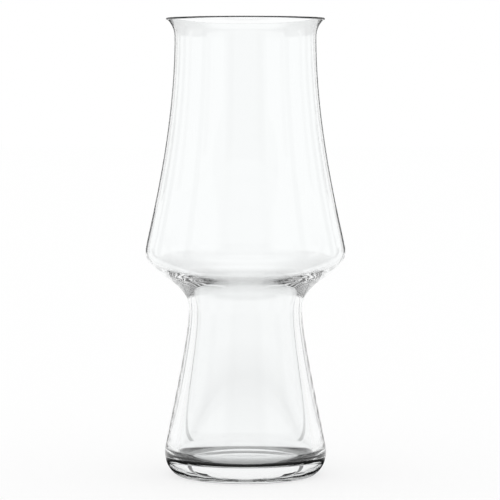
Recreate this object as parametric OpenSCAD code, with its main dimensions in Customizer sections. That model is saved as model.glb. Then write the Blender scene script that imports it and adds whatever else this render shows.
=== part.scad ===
// Tulip beer glass: a thin flared bowl on a thick hollow stem and a heavy rounded base.
// Millimetres, +Z up, origin at the centre of the ring that the glass stands on.

/* [Bowl] */
// Diameter over the rounded rim
rim_d = 63.4; // [58:0.2:72]
// Diameter of the neck, the narrowest place below the lip
neck_d = 56.8; // [50:0.1:62]
// Diameter of the belly, the widest place of the glass
belly_d = 80; // [70:0.5:92]
// Height from the belly up to the top of the rim
bowl_h = 92.5; // [75:0.5:115]
// Height of the flared lip, from the neck up to the top of the rim
lip_h = 7.5; // [6:0.1:12]
// Lean of the lip at the rim, in degrees from upright
lip_lean = 46; // [25:1:55]
// Wall of the bowl from the belly up to the rim
bowl_wall = 0.9; // [0.8:0.1:2]

/* [Shoulder] */
// Height from the throat up to the belly
shoulder_h = 24.7; // [19:0.1:32]
// Outer diameter of the throat, the narrowest place of the glass
throat_d = 45.5; // [38:0.5:52]
// Wall at the throat
throat_wall = 3; // [2.2:0.1:4.5]

/* [Stem] */
// Height from the widest place of the base up to the throat
stem_h = 56.5; // [44:0.5:68]
// Wall of the stem where it meets the base
stem_wall = 5.2; // [3.6:0.1:6.5]

/* [Base] */
// Diameter of the base at its widest place
base_d = 64.9; // [58:0.1:74]
// Height of that widest place above the table
heel_h = 9.1; // [7.5:0.1:12]
// Outer diameter of the flat ring that the glass stands on
foot_d = 54; // [44:0.5:60]
// Width of that ring
ring_w = 5; // [2:0.5:8]
// Depth of the hollow under the base
punt_depth = 0.4; // [0.2:0.1:2]
// Height of the inner floor above the table
floor_h = 6.6; // [5.5:0.1:10]
// Radius between the inner floor and the inner wall
floor_round = 3.5; // [2.5:0.1:6]

/* [Curves] */
// A hold is how far a curve keeps its direction at one end, as a share of its rise
// Holds of the lip, at the neck and at the rim
lip_hold = [0.36, 0.53]; // [0.2:0.01:0.8]
// Holds of the bowl's wall, at the belly and at the neck
bowl_hold = [0.05, 0.475]; // [0.03:0.001:0.6]
// Holds of the shoulder's outside, at the throat and at the belly
shoulder_hold = [0.59, 0.47]; // [0.35:0.01:0.7]
// Holds of the shoulder's inside, at the throat and at the belly
shoulder_bore_hold = [0.67, 0.47]; // [0.35:0.01:0.8]
// Holds of the stem's outside, at the base and at the throat
stem_hold = [0.07, 0.205]; // [0.04:0.001:0.35]
// Holds of the stem's inside, at the base and at the throat
stem_bore_hold = [0.076, 0.232]; // [0.04:0.001:0.35]
// Holds of the heel, at the table as a share of its width, and at the widest place
heel_hold = [0.2, 0.66]; // [0.1:0.01:0.75]

/* [Hidden] */
curve_steps = 20;
round_steps = 8;
$fn = 128;
clear_glass = [0.86, 0.90, 0.91, 0.45];

throat_h = heel_h + stem_h;
belly_h = throat_h + shoulder_h;
height = belly_h + bowl_h;
// The stem is fused to the base where the rounding of the inner floor ends
joint_h = floor_h + floor_round;
floor_wall_r = base_d / 2 - stem_wall;

// Stations of the profile as [radius, height], on the outside and on the inside
heel = [base_d / 2, heel_h];
throat = [throat_d / 2, throat_h];
belly = [belly_d / 2, belly_h];
neck = [neck_d / 2, height - lip_h];
throat_in = throat - [throat_wall, 0];
belly_in = belly - [bowl_wall, 0];
neck_in = neck - [bowl_wall, 0];
stem_foot_in = [floor_wall_r, joint_h];

// The rim is a half round across the wall, turned with the lip
rim_r = bowl_wall / 2;
rim_centre = [rim_d / 2 - rim_r, height - rim_r];
lip_out = rim_centre + rim_r * direction(-lip_lean);
lip_in = rim_centre + rim_r * direction(180 - lip_lean);

function direction(angle) = [cos(angle), sin(angle)];

// Points of a cubic curve with ends a and d and handles b and c, without its last point
function curve(a, b, c, d) = [
    for (i = [0 : curve_steps - 1])
        let (t = i / curve_steps, s = 1 - t)
            s * s * s * a + 3 * s * s * t * b + 3 * s * t * t * c + t * t * t * d
];

// Points of an arc from one angle to another, without its last point
function arc(centre, radius, from, to) = [
    for (i = [0 : round_steps - 1])
        centre + radius * direction(from + (to - from) * i / round_steps)
];

// A wall that stands upright at both of its ends
function wall(from, to, hold) =
    let (rise = [0, to.y - from.y])
        curve(from, from + rise * hold[0], to - rise * hold[1], to);

// A wall that is upright at the neck and leans with the lip at its end
function lip(from, to) =
    let (rise = to.y - from.y)
        curve(
            from,
            from + [0, rise * lip_hold[0]],
            to - rise * lip_hold[1] * direction(90 - lip_lean),
            to
        );

function backwards(points) = [for (i = [len(points) - 1 : -1 : 0]) points[i]];

// From the table over the heel, up the outside to the rim
function outside() =
    let (foot = [foot_d / 2, 0], spread = heel.x - foot.x)
        concat(
            curve(
                foot,
                foot + [spread * heel_hold[0], 0],
                heel - [0, heel_h * heel_hold[1]],
                heel
            ),
            wall(heel, throat, stem_hold),
            wall(throat, belly, shoulder_hold),
            wall(belly, neck, bowl_hold),
            lip(neck, lip_out)
        );

// From the rim down the inside to the middle of the inner floor
function inside() =
    concat(
        [lip_in],
        backwards(concat(
            [[0, floor_h]],
            arc(stem_foot_in - [floor_round, 0], floor_round, -90, 0),
            wall(stem_foot_in, throat_in, stem_bore_hold),
            wall(throat_in, belly_in, shoulder_bore_hold),
            wall(belly_in, neck_in, bowl_hold),
            lip(neck_in, lip_in)
        ))
    );

// The shallow dome under the base, from the axis to the inner edge of the ring
function punt() =
    let (
        edge = foot_d / 2 - ring_w,
        dome_r = (edge * edge + punt_depth * punt_depth) / (2 * punt_depth),
        centre = [0, punt_depth - dome_r]
    )
        concat(arc(centre, dome_r, 90, acos(edge / dome_r)), [[edge, 0]]);

module half_section() {
    polygon(concat(
        punt(),
        outside(),
        arc(rim_centre, rim_r, -lip_lean, 180 - lip_lean),
        inside()
    ));
}

// The turned body between two heights
module turned(low, high) {
    rotate_extrude()
        intersection() {
            half_section();
            translate([0, low])
                square([belly_d, high - low]);
        }
}

module bowl() {
    color(clear_glass)
        turned(throat_h, height);
}

module stem() {
    color(clear_glass)
        turned(joint_h, throat_h);
}

module base() {
    color(clear_glass)
        turned(0, joint_h);
}

bowl();
stem();
base();
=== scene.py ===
# %% [markdown]
# # A tulip beer glass in clear glass
#
# The glass has three pieces: a thin blown bowl, a thick hollow stem and a heavy base, fused into
# one clear body. Clear glass has no colour of its own to paint. It shows where its walls bend the
# light, so this lesson is about the shape of the wall, inside and out, and about what stands round
# it. The solid model is loaded first, because each piece made here takes the place of one of its
# nodes.

# %% Load the solid model as the frame
import math

import bpy
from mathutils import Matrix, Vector


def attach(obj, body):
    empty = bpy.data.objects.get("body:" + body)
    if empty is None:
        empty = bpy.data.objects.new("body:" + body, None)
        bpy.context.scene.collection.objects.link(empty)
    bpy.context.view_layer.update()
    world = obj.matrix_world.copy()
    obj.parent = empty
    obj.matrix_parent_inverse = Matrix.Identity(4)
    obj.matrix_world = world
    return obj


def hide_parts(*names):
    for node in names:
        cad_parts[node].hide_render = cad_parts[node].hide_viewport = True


MM = 0.001

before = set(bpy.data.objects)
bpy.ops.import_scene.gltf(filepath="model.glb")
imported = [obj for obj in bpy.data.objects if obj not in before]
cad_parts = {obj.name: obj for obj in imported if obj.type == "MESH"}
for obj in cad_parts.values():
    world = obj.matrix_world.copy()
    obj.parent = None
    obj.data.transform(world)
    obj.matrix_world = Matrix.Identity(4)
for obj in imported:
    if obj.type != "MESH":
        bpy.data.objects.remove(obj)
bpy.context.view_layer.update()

# %% [markdown]
# ## The camera
#
# The rim shows as a very flat ellipse and the foot as a fuller one, so the camera stands level
# with the upper bowl, about a metre away, and looks slightly down. A long lens keeps the sides
# nearly parallel. Its place and aim could be found by eye. Here they were fitted to the rim, the
# belly and the foot as the photograph shows them, so the lens is written in pixels. Light crosses
# many walls of a clear glass on its way to the camera, so the limits on its bounces are raised
# too.

# %% Camera
SENSOR = 36.0
IMAGE_SIDE = 500
CAMERA_DISTANCE = 1.023
CAMERA_HEIGHT = 0.154
FOCAL_PIXELS = 2559
AXIS_PIXEL = 245.5
PITCH = math.radians(3.568)
LIGHT_BOUNCES = 64

scene = bpy.context.scene
yaw = math.atan((AXIS_PIXEL - IMAGE_SIDE / 2) / FOCAL_PIXELS)
camera_data = bpy.data.cameras.new("camera")
camera_data.sensor_width = SENSOR
camera_data.lens = FOCAL_PIXELS * SENSOR / IMAGE_SIDE
camera = bpy.data.objects.new("camera", camera_data)
camera.location = (0, -CAMERA_DISTANCE, CAMERA_HEIGHT)
camera.rotation_euler = (math.pi / 2 - PITCH, 0, yaw)
scene.collection.objects.link(camera)
scene.camera = camera
scene.view_settings.view_transform = "Standard"
for kind in ("max_bounces", "glossy_bounces", "transmission_bounces", "transparent_max_bounces"):
    setattr(scene.cycles, kind, LIGHT_BOUNCES)
print("lens", round(camera_data.lens, 1), "mm")

# %% [markdown]
# ## Nodes and colours
#
# Every tree below is built with one small function that adds a node, sets it and links it. Colours
# are written as sRGB hex, the way a picture editor shows them, and turned to linear light for the
# shaders. A soft step between two levels comes up often, so its four numbers have a helper as
# well.

# %% Helpers


def linear(hex_colour):
    """An sRGB hex colour as linear RGBA."""
    channels = [int(hex_colour[i : i + 2], 16) / 255 for i in (1, 3, 5)]
    return [c / 12.92 if c <= 0.04045 else ((c + 0.055) / 1.055) ** 2.4 for c in channels] + [1.0]


def add(tree, kind, links=None, values=None, **settings):
    """Adds a node: settings are its properties, values fill input sockets, links join them."""
    node = tree.nodes.new(kind)
    for name, value in settings.items():
        setattr(node, name, value)
    for socket, value in (values or {}).items():
        node.inputs[socket].default_value = value
    for socket, source in (links or {}).items():
        tree.links.new(source, node.inputs[socket])
    return node


def from_to(ends, levels=(0.0, 1.0)):
    """The numbers of a Map Range that goes between two levels while its value passes two ends."""
    return {"From Min": ends[0], "From Max": ends[1], "To Min": levels[0], "To Max": levels[1]}


SOFT_STEP = {"interpolation_type": "SMOOTHSTEP"}
WHITE = linear("#ffffff")
print("mid grey in linear light", [round(c, 3) for c in linear("#808080")])

# %% [markdown]
# ## A white wall round the glass
#
# Clear glass is lit from behind, so that a white field shows through it. A studio bends white
# paper round the table. One backdrop would do for one camera, but a library part is seen from all
# sides, so the paper stands right round the glass, a little higher than it. In front it is dimmer,
# as the open side of a studio is. Far lamps could light such a field. Boards that glow by
# themselves are simpler: each is placed by its angle, so it is plain what it draws in the glass.
# Only the glass sees them. They are hidden from the camera, and they don't light the table.

# %% White wall
BOARD_STEPS = 24


def flat_light(name, level):
    """Paper or card that is lit evenly: to the eye it is one level from every side."""
    material = bpy.data.materials.new(name)
    material.use_nodes = True
    tree = material.node_tree
    tree.nodes.clear()
    glow = add(tree, "ShaderNodeEmission", values={"Color": WHITE, "Strength": level})
    add(tree, "ShaderNodeOutputMaterial", {"Surface": glow.outputs[0]})
    return material


def board(name, rows, angles, finish):
    """A bent board over a span of angles, between two rows of (distance from the axis, height)."""
    corners = []
    for i in range(BOARD_STEPS + 1):
        turned = math.radians(angles[0] + (angles[1] - angles[0]) * i / BOARD_STEPS)
        corners += [(reach * math.sin(turned), reach * math.cos(turned), up) for reach, up in rows]
    faces = [(2 * i, 2 * i + 2, 2 * i + 3, 2 * i + 1) for i in range(BOARD_STEPS)]
    mesh = bpy.data.meshes.new(name)
    mesh.from_pydata(corners, [], faces)
    mesh.materials.append(finish)
    strip = bpy.data.objects.new(name, mesh)
    scene.collection.objects.link(strip)
    strip.visible_camera = False
    strip.visible_diffuse = False
    strip.visible_shadow = False
    print(name, "over", [round(a, 1) for a in angles], "degrees")


def upright(reach, low, high):
    """The two rows of a board that stands upright."""
    return (reach, low), (reach, high)


WALL_REACH = 0.30
WALL_HEIGHT = 0.203
WALL_END = 147
FRONT_LEVEL = 0.8

wall_rows = upright(WALL_REACH, 0, WALL_HEIGHT)
board("white wall", wall_rows, (-WALL_END, WALL_END), flat_light("white paper, lit evenly", 1.0))
board(
    "front wall",
    wall_rows,
    (WALL_END, 360 - WALL_END),
    flat_light("white paper, dimly lit", FRONT_LEVEL),
)

# %% [markdown]
# ## Cards that draw the outline
#
# Straight behind the glass a card would show as a bar, and well beside it as a thin line along the
# outline. So eight cards stand halfway between the front, the back, the sides and the corners. The
# two at the back, which the photographed side bends into view, are black. The others are a pale
# grey, so that they only hint at the outline from the other sides.

# %% Cards
CARD_COUNT = 8
CARD_WIDTH = 8.4
CARD_TOP = 0.349
BLACK_LEVEL = 0.02
BLACK_FROM = 0.065
GREY_LEVEL = 0.7
GREY_FROM = 0.025
BOARD_GAP = 0.002

black_card = flat_light("black card, matt", BLACK_LEVEL)
grey_card = flat_light("pale grey card, matt", GREY_LEVEL)
card_reach = WALL_REACH - BOARD_GAP
for i in range(CARD_COUNT):
    middle = (i + 0.5) * 360 / CARD_COUNT
    black = i in (0, CARD_COUNT - 1)
    board(
        f"card {i + 1}",
        upright(card_reach, BLACK_FROM if black else GREY_FROM, CARD_TOP),
        (middle - CARD_WIDTH / 2, middle + CARD_WIDTH / 2),
        black_card if black else grey_card,
    )

# %% [markdown]
# ## Slim cards for the stem
#
# The thick wall of the stem shows as a pale band between two lines. Here the inner line is the
# picture of something narrow that stands further out than the black cards, bent in by the wall. So
# a slim card stands there on either hand, and a paler strip on the table carries the line on down
# towards the base. A line painted on the stem would look the same, but from one side only.

# %% Slim cards and strips
SLIM_ANGLES = (27.5, 31)
SLIM_TOP = 0.115
SLIM_LEVEL = 0.25
STRIP_FROM = 0.07
STRIP_LEVEL = 0.6

slim_card = flat_light("grey card, matt", SLIM_LEVEL)
floor_strip = flat_light("pale grey strip, matt", STRIP_LEVEL)
for side, hand in (("left", -1), ("right", 1)):
    span = [hand * a for a in SLIM_ANGLES]
    board(f"{side} slim card", upright(card_reach, 0, SLIM_TOP), span, slim_card)
    lying = (STRIP_FROM, BOARD_GAP), (WALL_REACH, BOARD_GAP)
    board(f"{side} floor strip", lying, span, floor_strip)

# %% [markdown]
# ## The room
#
# Above the wall the glass sees the room: dark at the sides, a little lighter behind, light in
# front and lightest overhead, where a soft box hangs. The camera and the table see plain white
# instead. A picture of a real room could be wrapped round the scene, but three soft steps along
# the direction of a ray are easier to read and to change.

# %% Room
SIDE_LEVEL = 0.02
BACK_LEVEL = 0.1
BACK_FADE = (0.1, 0.6)
FRONT_FADE = (-0.2, -0.7)
OVERHEAD_LEVEL = 0.95
OVERHEAD_FADE = (50, 70)


def room():
    """A world that is plain white, and for the glass dim at the sides and light overhead."""
    world = bpy.data.worlds.new("room")
    world.use_nodes = True
    tree = world.node_tree
    tree.nodes.clear()
    way = add(tree, "ShaderNodeTexCoord").outputs["Generated"]
    axes = add(tree, "ShaderNodeSeparateXYZ", {"Vector": way}).outputs
    overhead = [math.sin(math.radians(a)) for a in OVERHEAD_FADE]
    seen = None
    for axis, ends, levels in (
        ("Y", BACK_FADE, (SIDE_LEVEL, BACK_LEVEL)),
        ("Y", FRONT_FADE, (SIDE_LEVEL, FRONT_LEVEL)),
        ("Z", overhead, (0.0, OVERHEAD_LEVEL)),
    ):
        values = from_to(ends, levels)
        part = add(tree, "ShaderNodeMapRange", {"Value": axes[axis]}, values, **SOFT_STEP)
        level = part.outputs["Result"]
        if seen is not None:
            both = {0: seen, 1: level}
            level = add(tree, "ShaderNodeMath", both, operation="MAXIMUM").outputs[0]
        seen = level
    path = add(tree, "ShaderNodeLightPath").outputs
    straight_on = {0: path["Is Camera Ray"], 1: path["Is Diffuse Ray"]}
    plain = add(tree, "ShaderNodeMath", straight_on, operation="MAXIMUM").outputs[0]
    strength = add(tree, "ShaderNodeMix", {"Factor": plain, "A": seen}, {"B": 1.0})
    sky = add(
        tree,
        "ShaderNodeBackground",
        {"Strength": strength.outputs["Result"]},
        {"Color": WHITE},
    )
    add(tree, "ShaderNodeOutputWorld", {"Surface": sky.outputs[0]})
    return world


scene.world = room()
print("room", len(scene.world.node_tree.nodes), "nodes")

# %% [markdown]
# ## The finish of the table
#
# For the camera the table gives back a part of the light that falls on it and adds the rest
# itself, so it is white in the open and keeps the soft shade under the glass. The glass sees
# painted shade and light instead: a dark oval of painted shade round the foot, which draws the
# outline of the heel and the base, and a painted bright disc in its middle, darker towards the
# front. A dark card with a round window could be modelled, but it would have hard edges. Painted
# in by the place on the table it is soft, and the camera never sees it. It is painted shade, much
# darker than a real shadow: on a plain white table these lines are almost lost.

# %% Table finish
FLOOR_DIFFUSE = 0.3
# DISC_ numbers set the painted bright disc under the foot, SHADE_ numbers the painted dark oval of
# shade round it, which fades out behind the glass.
DISC_R = 0.0215
DISC_EDGE = (0.98, 1.02)
DISC_FADE = (-0.02, 0.02)
DISC_LEVELS = (0.35, 1.0)
SHADE_LEVEL = 0.01
SHADE_CENTRE = -0.010
SHADE_SIZE = (0.065, 0.052)
SHADE_EDGE = (0.75, 1.25)
SHADE_END = (0.026, 0.034)


def oval(tree, place, centre, size):
    """Distance from a place on the line from front to back, as a share of an oval's size."""
    near = add(
        tree,
        "ShaderNodeMapping",
        {"Vector": place},
        {"Location": (0, centre, 0), "Scale": (*size, 1)},
        vector_type="TEXTURE",
    ).outputs["Vector"]
    return add(tree, "ShaderNodeVectorMath", {0: near}, operation="LENGTH").outputs["Value"]


def table_material():
    """A matt white table: to the camera white with a soft shade, to the glass painted shade and
    light.
    """
    material = bpy.data.materials.new("white laminate, matt, with painted shade for the glass")
    material.use_nodes = True
    tree = material.node_tree
    tree.nodes.clear()
    place = add(tree, "ShaderNodeTexCoord").outputs["Object"]
    back = add(tree, "ShaderNodeSeparateXYZ", {"Vector": place}).outputs["Y"]
    # Painted light and shade for the glass: a bright disc under the foot, darker in front, inside
    # a dark oval of painted shade.
    painted_light_disc, painted_shade_oval, behind, beside = (
        add(
            tree, "ShaderNodeMapRange", {"Value": value}, from_to(ends, levels), **SOFT_STEP
        ).outputs["Result"]
        for value, ends, levels in (
            (back, DISC_FADE, DISC_LEVELS),
            (oval(tree, place, SHADE_CENTRE, SHADE_SIZE), SHADE_EDGE, (SHADE_LEVEL, 1.0)),
            (back, SHADE_END, (0.0, 1.0)),
            (oval(tree, place, 0, (DISC_R, DISC_R)), DISC_EDGE, (0.0, 1.0)),
        )
    )
    shade = add(tree, "ShaderNodeMath", {0: painted_shade_oval, 1: behind}, operation="MAXIMUM").outputs[0]
    level = add(tree, "ShaderNodeMix", {"Factor": beside, "A": painted_light_disc, "B": shade}).outputs["Result"]
    # The painted shade and the painted bright disc glow for every ray but the camera's.
    painted_for_glass = add(tree, "ShaderNodeEmission", {"Strength": level}).outputs[0]
    matt = add(tree, "ShaderNodeBsdfDiffuse", values={"Color": [FLOOR_DIFFUSE] * 3 + [1]})
    glow = add(tree, "ShaderNodeEmission", values={"Strength": 1 - FLOOR_DIFFUSE})
    white = add(tree, "ShaderNodeAddShader", {0: matt.outputs[0], 1: glow.outputs[0]}).outputs[0]
    by_camera = add(tree, "ShaderNodeLightPath").outputs["Is Camera Ray"]
    seen = add(tree, "ShaderNodeMixShader", {0: by_camera, 1: painted_for_glass, 2: white})
    add(tree, "ShaderNodeOutputMaterial", {"Surface": seen.outputs[0]})
    return material


# The table's material: white laminate for the camera, with painted shade and light that only the
# glass sees.
laminate_with_painted_shade = table_material()
print(laminate_with_painted_shade.name, "with a shade of", SHADE_SIZE, "m")

# %% [markdown]
# ## The table
#
# The glass stands on a plain table. It is made as one flat disc, because nothing of it shows but
# its top, and so wide that the glass sees nothing else below the horizon. A square would serve as
# well.

# %% Table
FLOOR_RADIUS = 6.0
FLOOR_SIDES = 96

bpy.ops.mesh.primitive_circle_add(vertices=FLOOR_SIDES, radius=FLOOR_RADIUS, fill_type="NGON")
floor = bpy.context.object
floor.name = "floor"
floor.data.materials.append(laminate_with_painted_shade)
print("table", 2 * FLOOR_RADIUS, "m across")

# %% [markdown]
# ## Clear glass
#
# Soda-lime glass is the common glass of tableware. Fire-polished, it has no grain and no
# roughness, and it bends light with an index of 1.52. Its trace of colour shows only where the
# wall is thick, so the tint is nearly nothing in the thin bowl and a little more in the stem and
# the base. A volume that absorbs light would give that by itself. A colour that follows the height
# of the surface does nearly the same, renders faster and can be baked.

# %% Glass
GLASS_IOR = 1.52
THIN_COLOUR = "#fdfefe"
THICK_COLOUR = "#fbfcfc"
TINT_FADE = (60.0, 85.0)


def clear_glass():
    """Colourless and smooth: the eye sees what the wall bends into view, and reflections."""
    material = bpy.data.materials.new("clear soda-lime glass, fire-polished")
    material.use_nodes = True
    tree = material.node_tree
    shader = tree.nodes["Principled BSDF"]
    place = add(tree, "ShaderNodeTexCoord").outputs["Object"]
    up = add(tree, "ShaderNodeSeparateXYZ", {"Vector": place}).outputs["Z"]
    fade = from_to([end * MM for end in TINT_FADE])
    thin = add(tree, "ShaderNodeMapRange", {"Value": up}, fade, **SOFT_STEP).outputs["Result"]
    tint = add(
        tree,
        "ShaderNodeMix",
        {"Factor": thin},
        {"A": linear(THICK_COLOUR), "B": linear(THIN_COLOUR)},
        data_type="RGBA",
    )
    tree.links.new(tint.outputs["Result"], shader.inputs["Base Color"])
    for socket, value in {"Roughness": 0.0, "IOR": GLASS_IOR, "Transmission Weight": 1.0}.items():
        shader.inputs[socket].default_value = value
    return material


glass = clear_glass()
print(glass.name, "with index", GLASS_IOR)

# %% [markdown]
# ## Fused seams
#
# Where two pieces of glass were fused while hot, no surface is left between them. The pieces stay
# separate closed meshes here, so the two faces that meet at a joint get a material that isn't seen
# at all. Leaving those faces out would look the same, but the meshes would be open.

# %% Fused seam


def fused_seam():
    """Nothing for the eye: light goes on from one piece into the next."""
    material = bpy.data.materials.new("fused seam")
    material.use_nodes = True
    material.node_tree.nodes["Principled BSDF"].inputs["Alpha"].default_value = 0.0
    return material


seam = fused_seam()
print(seam.name, "is see-through")

# %% [markdown]
# ## The outside of the stem
#
# A glass is turned, so half a section through its wall says everything. The section runs through a
# few stations, each a radius and a height in millimetres, and cubic curves join them. At a station
# the wall stands upright, and a hold says how far it stays so, as a share of the rise. A long row
# of measured points would also make a section, but clear glass shows every bump, and a long curve
# has none. The first curve is the outside of the stem, the cone that the hand holds: from the
# heel, where the base is widest, up to the throat, the narrowest place of the glass.

# %% Outside of the stem
BASE_D = 64.9
HEEL_H = 9.1
STEM_H = 56.5
STEM_HOLD = (0.07, 0.205)
THROAT_D = 45.5


def point(radius, up):
    """A place in the section."""
    return Vector((radius, up, 0))


def wall(start, end, hold):
    """A cubic that stands upright at both ends."""
    rise = point(0, end.y - start.y)
    return [start, start + rise * hold[0], end - rise * hold[1], end]


throat_h = HEEL_H + STEM_H
heel = point(BASE_D / 2, HEEL_H)
throat = point(THROAT_D / 2, throat_h)
stem_out = wall(heel, throat, STEM_HOLD)
print("stem draws in from", BASE_D, "to", THROAT_D, "mm")

# %% [markdown]
# ## Where stem and base are fused
#
# The stem goes on as a piece of its own from where the rounding of the inner floor ends. The curve
# of its outside is cut there, by halving until the height is met. Two curves drawn to meet at the
# joint would be easier to write, but a cubic that is split keeps its shape exactly, so nothing
# shows.

# %% Joint of stem and base
HALVINGS = 60
FLOOR_H = 6.6
FLOOR_ROUND = 3.5


def split(curve, share):
    """The two cubics that a cubic is made of, before and after a share of its run."""
    ab, bc, cd = (p.lerp(q, share) for p, q in zip(curve, curve[1:]))
    abc, bcd = ab.lerp(bc, share), bc.lerp(cd, share)
    here = abc.lerp(bcd, share)
    return [curve[0], ab, abc, here], [here, bcd, cd, curve[3]]


def split_at(curve, up):
    """The cubic below and above a height that it passes once."""
    low, high = 0.0, 1.0
    for _ in range(HALVINGS):
        middle = (low + high) / 2
        low, high = (middle, high) if split(curve, middle)[1][0].y < up else (low, middle)
    return split(curve, low)


joint_h = FLOOR_H + FLOOR_ROUND
stem_low, stem_high = split_at(stem_out, joint_h)
joint_out = stem_high[0]
print("joint at", joint_h, "mm, radius", round(joint_out.x, 2), "mm")

# %% [markdown]
# ## The stem
#
# The stem is thick and hollow, and open to the bowl. In the photograph the pale band along its
# side widens downwards, so its wall is made to thicken that way, and the inside is a curve of its
# own. An outline with an even thickness would be quicker, but the band would stay even too. Long
# curves are cut into parts, which gives them more points than the flat joints get.

# %% Stem section
STEM_WALL = 5.2
STEM_BORE_HOLD = (0.076, 0.232)
STEM_PARTS = 16
THROAT_WALL = 3.0


def straight(start, end):
    """A straight line, written as a cubic."""
    return [start, start.lerp(end, 1 / 3), start.lerp(end, 2 / 3), end]


def turned_back(curve):
    """A curve that is run through from its end."""
    return curve[::-1]


def parts(curve, count):
    """A cubic as a run of shorter ones, where the light needs a finer wall."""
    run = []
    for left in range(count, 1, -1):
        first, curve = split(curve, 1 / left)
        run.append(first)
    return [*run, curve]


throat_in = throat - point(THROAT_WALL, 0)
stem_foot_in = point(BASE_D / 2 - STEM_WALL, joint_h)
stem_profile = [
    *parts(stem_high, STEM_PARTS),
    straight(throat, throat_in),
    *parts(turned_back(wall(stem_foot_in, throat_in, STEM_BORE_HOLD)), STEM_PARTS),
    straight(stem_foot_in, joint_out),
]
print("stem from", joint_h, "to", throat_h, "mm")

# %% [markdown]
# ## The base
#
# The base is the heavy bottom: a rounded heel outside, a flat inner floor with a round edge, and a
# flat ring to stand on, with a shallow hollow inside it so that the glass doesn't rock. The
# photograph shows pale rings on the inner floor, so it gets very shallow ones, which are a guess.
# A bump map could draw them, but glass bends light by its true shape, so they are in the curve.

# %% Base section
FOOT_D = 54.0
RING_W = 5.0
PUNT_DEPTH = 0.4
HEEL_HOLD = (0.2, 0.66)
RIPPLES = 6
RIPPLE_DEPTH = 0.008
QUARTER_ARC = 0.5523


def quarter(start, corner, end):
    """A quarter round from start to end that would meet in corner if it were square."""
    return [start, start.lerp(corner, QUARTER_ARC), end.lerp(corner, QUARTER_ARC), end]


def rippled(start, end):
    """Shallow rings from start to end, each a crest and a trough, that end level."""
    half = (end - start) / (2 * RIPPLES)
    steps = range(2 * RIPPLES)
    knots = [start + half * i - point(0, RIPPLE_DEPTH if i % 2 else 0) for i in steps] + [end]
    return [[a, a + half / 2, b - half / 2, b] for a, b in zip(knots, knots[1:])]


def hollow(top, edge):
    """A shallow dome, level at its top, that runs down to an edge as a parabola does."""
    third = edge.x / 3
    return [top, top + point(third, 0), edge + point(-third, top.y * 2 / 3), edge]


foot = point(FOOT_D / 2, 0)
ring_in = foot - point(RING_W, 0)
floor_edge = stem_foot_in - point(FLOOR_ROUND, FLOOR_ROUND)
spread = point(heel.x - foot.x, 0)
base_profile = [
    hollow(point(0, PUNT_DEPTH), ring_in),
    straight(ring_in, foot),
    [foot, foot + spread * HEEL_HOLD[0], heel - point(0, HEEL_H * HEEL_HOLD[1]), heel],
    stem_low,
    straight(joint_out, stem_foot_in),
    quarter(stem_foot_in, stem_foot_in - point(0, FLOOR_ROUND), floor_edge),
    *rippled(floor_edge, point(0, FLOOR_H)),
]
print("base", BASE_D, "mm wide, on a ring of", FOOT_D, "mm")

# %% [markdown]
# ## The lip
#
# The lip turns out above the neck, and its rim is fire-polished: melted round, which makes it
# pleasant to drink from. A Bevel modifier could round it. In the section it is two quarter rounds
# across the wall, which lean as the lip does, so that the outline runs on into them without a
# corner.

# %% Lip
SHOULDER_H = 24.7
BOWL_H = 92.5
BOWL_WALL = 0.9
RIM_D = 63.4
LIP_LEAN = math.radians(46)
LIP_HOLD = (0.36, 0.53)


def lean(angle):
    """One millimetre in a direction of the section."""
    return point(math.cos(angle), math.sin(angle))


belly_h = throat_h + SHOULDER_H
height = belly_h + BOWL_H
along_lip = lean(math.pi / 2 - LIP_LEAN)
rim_r = BOWL_WALL / 2
rim_centre = point(RIM_D / 2 - rim_r, height - rim_r)
rim_top = rim_centre + rim_r * along_lip
lip_out = rim_centre + rim_r * lean(-LIP_LEAN)
lip_in = rim_centre + rim_r * lean(math.pi - LIP_LEAN)
rim = [
    quarter(lip_out, lip_out + rim_r * along_lip, rim_top),
    quarter(rim_top, lip_in + rim_r * along_lip, lip_in),
]


def lip(start, end):
    """A cubic that is upright at the neck and leans out with the lip at its end."""
    rise = end.y - start.y
    hold_low, hold_high = LIP_HOLD
    return [start, start + point(0, rise * hold_low), end - along_lip * rise * hold_high, end]


print("rim at", round(height, 1), "mm,", BOWL_WALL, "mm thick")

# %% [markdown]
# ## The bowl
#
# The bowl is blown thin. From the throat the shoulder swings out to the belly in an S, and from
# there one long curve leans in to the neck. A Solidify modifier could give a drawn line its wall,
# but the wall goes from 3 mm at the throat to 0.9 mm at the belly, so the inside has curves of its
# own. Of the bowl's curves the shoulder is cut into the most parts, because light bounces along
# inside its wall.

# %% Bowl section
BELLY_D = 80.0
NECK_D = 56.8
LIP_H = 7.5
SHOULDER_HOLD = (0.59, 0.47)
SHOULDER_BORE_HOLD = (0.67, 0.47)
BOWL_HOLD = (0.05, 0.475)
SHOULDER_PARTS = 12
BOWL_PARTS = 5
LIP_PARTS = 2

belly = point(BELLY_D / 2, belly_h)
belly_in = belly - point(BOWL_WALL, 0)
neck = point(NECK_D / 2, height - LIP_H)
neck_in = neck - point(BOWL_WALL, 0)
bowl_profile = [
    *parts(wall(throat, belly, SHOULDER_HOLD), SHOULDER_PARTS),
    *parts(wall(belly, neck, BOWL_HOLD), BOWL_PARTS),
    *parts(lip(neck, lip_out), LIP_PARTS),
    *rim,
    *parts(turned_back(lip(neck_in, lip_in)), LIP_PARTS),
    *parts(turned_back(wall(belly_in, neck_in, BOWL_HOLD)), BOWL_PARTS),
    *parts(turned_back(wall(throat_in, belly_in, SHOULDER_BORE_HOLD)), SHOULDER_PARTS),
    straight(throat_in, throat),
]
print("bowl from", throat_h, "to", round(height, 1), "mm, belly", BELLY_D, "mm")

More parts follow.
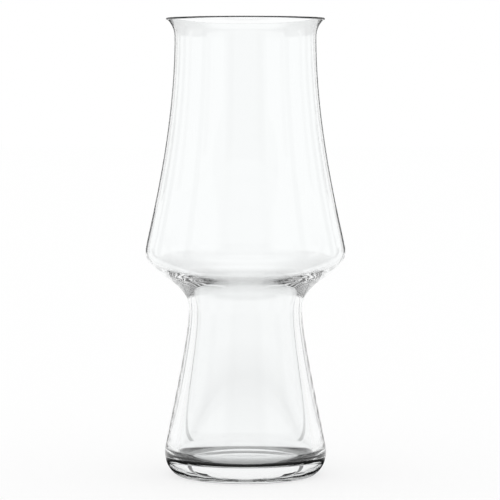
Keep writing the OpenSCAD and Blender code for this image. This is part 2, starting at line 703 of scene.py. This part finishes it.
# %% [markdown]
# ## Sections as curves
#
# Each section becomes a Bezier curve, whose knots and handles are the ends and handles of the
# cubics. The lathe carries it round a small circle, so it is drawn that circle's radius nearer to
# the axis. The bowl and the stem are closed loops. The base is open, because both ends of its
# section lie on the axis. A mesh of points would work too, but a curve can still be drawn finer.

# %% Section curves
SPINDLE_R = 1.0
WALL_STEPS = 12
BASE_STEPS = 22


def section_curve(name, profile, steps, closed=True):
    """A profile as a curve object, with a number of steps for each of its cubics."""
    data = bpy.data.curves.new(name, "CURVE")
    data.dimensions = "3D"
    data.resolution_u = steps
    spline = data.splines.new("BEZIER")
    spline.use_cyclic_u = closed
    spline.bezier_points.add(len(profile) - 1 if closed else len(profile))

    def placed(here):
        return Vector((here.x - SPINDLE_R, -here.y, 0)) * MM

    for i, knot in enumerate(spline.bezier_points):
        before = profile[i - 1] if i or closed else None
        after = profile[i] if i < len(profile) else None
        here = after[0] if after else before[3]
        knot.handle_left_type = knot.handle_right_type = "FREE"
        knot.co = placed(here)
        knot.handle_left = placed(before[2] if before else here)
        knot.handle_right = placed(after[1] if after else here)
    section = bpy.data.objects.new(name, data)
    scene.collection.objects.link(section)
    print(name, len(spline.bezier_points), "knots")
    return section


sections = {
    "bowl": section_curve("bowl section", bowl_profile, WALL_STEPS),
    "stem": section_curve("stem section", stem_profile, WALL_STEPS),
    "base": section_curve("base section", base_profile, BASE_STEPS, closed=False),
}

# %% [markdown]
# ## The lathe
#
# A glassmaker turns the hot glass, and the model is turned too. A Screw modifier or a spin could
# do it. A Geometry Nodes tree is chosen because one tree serves all three pieces, with its sizes
# and materials as named inputs.

# %% Lathe inputs
LATHE_INPUTS = {
    "Section": "NodeSocketObject",
    "Segments": "NodeSocketInt",
    "Spindle radius": "NodeSocketFloat",
    "Sharp angle": "NodeSocketFloat",
    "Seam low": "NodeSocketFloat",
    "Seam high": "NodeSocketFloat",
    "Glass": "NodeSocketMaterial",
    "Seam": "NodeSocketMaterial",
}
lathe = bpy.data.node_groups.new("lathe", "GeometryNodeTree")
for name, kind in LATHE_INPUTS.items():
    lathe.interface.new_socket(name, in_out="INPUT", socket_type=kind)
lathe.interface.new_socket("Turned", in_out="OUTPUT", socket_type="NodeSocketGeometry")
given = add(lathe, "NodeGroupInput").outputs
print("lathe takes", ", ".join(LATHE_INPUTS))

# %% [markdown]
# ## Sweeping the wall
#
# Curve to Mesh carries the section round a small circle on the axis. Where the section of the base
# starts and ends on the axis, the points of all turns lie in one place, and merging them closes
# the wall. It is shaded smooth, as fire-polished glass is. Only true corners stay sharp: the edges
# of the joints.

# %% Lathe sweep
WELD = 1e-6


def swept_wall(tree, given):
    """The nodes that turn the section into a closed wall, smooth but for its corners."""
    section = add(tree, "GeometryNodeObjectInfo", {"Object": given["Section"]})
    circle = add(
        tree,
        "GeometryNodeCurvePrimitiveCircle",
        {"Resolution": given["Segments"], "Radius": given["Spindle radius"]},
    )
    level = add(
        tree, "GeometryNodeSetCurveNormal", {"Curve": circle.outputs["Curve"]}, mode="Z_UP"
    )
    swept = add(
        tree,
        "GeometryNodeCurveToMesh",
        {"Curve": level.outputs["Curve"], "Profile Curve": section.outputs["Geometry"]},
    )
    closed = add(
        tree,
        "GeometryNodeMergeByDistance",
        {"Geometry": swept.outputs["Mesh"]},
        {"Distance": WELD},
    )
    outward = add(tree, "GeometryNodeFlipFaces", {"Mesh": closed.outputs["Geometry"]})
    smooth = add(
        tree,
        "GeometryNodeSetShadeSmooth",
        {"Geometry": outward.outputs["Mesh"]},
        {"Shade Smooth": True},
    )
    angle = add(tree, "GeometryNodeInputMeshEdgeAngle").outputs["Unsigned Angle"]
    corner = add(
        tree,
        "FunctionNodeCompare",
        {"A": angle, "B": given["Sharp angle"]},
        operation="GREATER_THAN",
    )
    return add(
        tree,
        "GeometryNodeSetShadeSmooth",
        {"Geometry": smooth.outputs["Geometry"], "Selection": corner.outputs["Result"]},
        {"Shade Smooth": False},
        domain="EDGE",
    ).outputs["Geometry"]


turned_wall = swept_wall(lathe, given)
print("sweep", len(lathe.nodes), "nodes")

# %% [markdown]
# ## Glass and seams on the wall
#
# The tree ends with the finishes: glass all over, and then the seam on the faces that lie at the
# height of a joint. The faces could be picked by hand, but the height finds them again when the
# number of points changes.

# %% Lathe finishes
SEAM_NEAR = 1e-5


def glazed(tree, given, turned):
    """The nodes that give a turned wall its glass, and its joints their seams."""
    real = add(tree, "GeometryNodeRealizeInstances", {"Geometry": turned}).outputs["Geometry"]
    clear = add(tree, "GeometryNodeSetMaterial", {"Geometry": real, "Material": given["Glass"]})
    where = add(tree, "GeometryNodeInputPosition").outputs["Position"]
    up = add(tree, "ShaderNodeSeparateXYZ", {"Vector": where}).outputs["Z"]
    low, high = (
        add(
            tree,
            "FunctionNodeCompare",
            {"A": up, "B": given[name]},
            {"Epsilon": SEAM_NEAR},
            operation="EQUAL",
        ).outputs["Result"]
        for name in ("Seam low", "Seam high")
    )
    either = add(tree, "FunctionNodeBooleanMath", {0: low, 1: high}, operation="OR").outputs[0]
    return add(
        tree,
        "GeometryNodeSetMaterial",
        {"Geometry": clear.outputs["Geometry"], "Selection": either, "Material": given["Seam"]},
    ).outputs["Geometry"]


add(lathe, "NodeGroupOutput", {"Turned": glazed(lathe, given, turned_wall)})
print("lathe", len(lathe.nodes), "nodes")

# %% [markdown]
# ## Turning the three pieces
#
# A modifier runs the tree on an empty mesh, and its result is kept as a plain mesh, so that the
# finished piece needs neither the tree nor the curve. Each piece is turned where it stands, with
# its place in its points. The number of segments keeps the outline round and no piece too heavy.

# %% Turn the pieces
SEGMENTS = 192
SHARP_EDGE = math.radians(50)


def turn(name, section):
    """A piece of the glass, turned from its section into a plain mesh."""
    holder = bpy.data.objects.new(name + "_lathe", bpy.data.meshes.new(name))
    scene.collection.objects.link(holder)
    modifier = holder.modifiers.new("lathe", "NODES")
    modifier.node_group = lathe
    settings = {
        "Section": section,
        "Segments": SEGMENTS,
        "Spindle radius": SPINDLE_R * MM,
        "Sharp angle": SHARP_EDGE,
        "Seam low": joint_h * MM,
        "Seam high": throat_h * MM,
        "Glass": glass,
        "Seam": seam,
    }
    for item in lathe.interface.items_tree:
        if item.in_out == "INPUT":
            modifier[item.identifier] = settings[item.name]
    depsgraph = bpy.context.evaluated_depsgraph_get()
    shape = bpy.data.meshes.new_from_object(holder.evaluated_get(depsgraph))
    shape.name = name
    bpy.data.objects.remove(holder)
    bpy.data.objects.remove(section)
    piece = bpy.data.objects.new(name, shape)
    scene.collection.objects.link(piece)
    print(name, len(shape.polygons), "faces", [m.name for m in shape.materials])
    return piece


pieces = {node: turn("glass_" + node, section) for node, section in sections.items()}

# %% [markdown]
# ## Pieces for nodes
#
# Nothing on a drinking glass moves, so all three pieces ride on the root body. Each one replaces
# the node of the solid model that has its shape. One mesh for all three would look the same, but
# then the pieces couldn't be named or exchanged one by one.

# %% Pieces on the frame
for node, piece in pieces.items():
    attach(piece, "root")
    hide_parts(node)
    print(piece.name, "replaces", node)
